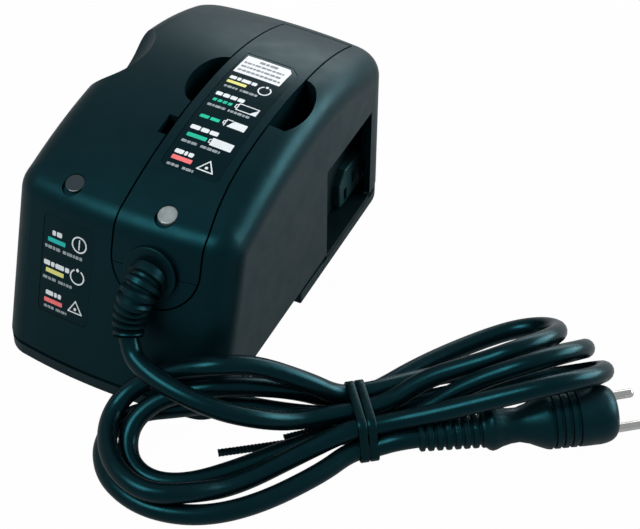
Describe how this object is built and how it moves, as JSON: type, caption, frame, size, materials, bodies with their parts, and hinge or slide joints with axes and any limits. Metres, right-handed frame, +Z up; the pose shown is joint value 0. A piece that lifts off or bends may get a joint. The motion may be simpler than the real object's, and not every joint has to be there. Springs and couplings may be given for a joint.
{
  "type": "battery charger",
  "caption": "Low black battery charger with a lift-out power module, indicator lights, a side outlet, printed labels and a tied mains cord with a round-pin plug.",
  "frame": {"origin": "middle of the housing's base on the table", "axes": "-Y is the front with the cord outlet, +X the side with the outlet recess, +Z up"},
  "size_m": [0.2265, 0.1963, 0.0842],
  "materials": {
    "shell_black": "fine satin moulding",
    "tray_black": "fine satin moulding",
    "feet_rubber": "matte",
    "recess_black": "matte moulding",
    "outlet_grey": "satin moulding",
    "contact_brass": "pressed strip",
    "label_film": "printed satin film",
    "module_black": "fine satin moulding",
    "inner_plastic": "plain moulding",
    "board_green": "solder resist",
    "capacitor_skin": "heat-shrink sleeve",
    "relay_case": "moulded case",
    "fuse_glass": "clear",
    "core_steel": "stacked sheet",
    "core_ferrite": "sintered",
    "winding_tape": "wound tape",
    "screw_steel": "zinc plated",
    "sink_aluminium": "extruded",
    "chip_black": "moulded",
    "cord_rubber": "satin sheath",
    "tie_plastic": "ridged strap",
    "plug_plastic": "satin moulding",
    "pin_nickel": "nickel plated",
    "lens_dark": "polished, smoky",
    "lens_frosted": "polished, frosted",
    "led_clear": "clear dome"
  },
  "bodies": {
    "base": {"outer_shell": "shell_black", "base_tray": "tray_black", "round_feet": "feet_rubber", "recess_insert": "recess_black", "outlet_socket": "outlet_grey", "outlet_contacts": "contact_brass", "front_label_plate": "label_film", "bay_contact_block": "inner_plastic", "bay_contact_blades": "contact_brass", "base_board": "board_green", "base_capacitor": "capacitor_skin", "base_relay": "relay_case", "base_fuse": "fuse_glass", "fuse_clips": "contact_brass", "base_transformer_core": "core_steel", "base_transformer_winding": "winding_tape", "board_screws": "screw_steel", "housing_screws": "screw_steel", "base_lens": "lens_dark", "base_led": "led_clear", "base_lens_sleeve": "inner_plastic"},
    "power_module": {"module_top_cover": "module_black", "module_bottom_tub": "module_black", "module_label_plate": "label_film", "module_lens": "lens_frosted", "module_lens_sleeve": "inner_plastic", "module_led": "led_clear", "module_board": "board_green", "module_transformer_core": "core_ferrite", "module_transformer_winding": "winding_tape", "module_capacitors": "capacitor_skin", "module_heat_sink": "sink_aluminium", "module_transistor": "chip_black", "module_contact_clips": "contact_brass", "strain_relief": "cord_rubber", "cord_lead": "cord_rubber", "cord_hank": "cord_rubber", "cord_tie": "tie_plastic", "plug_body": "plug_plastic", "plug_pins": "pin_nickel"}
  },
  "joints": [
    {"name": "module_lift", "type": "slide", "parent": "base", "child": "power_module", "axis": [0, 0, 1], "range_m": [0, 0.06]}
  ]
}
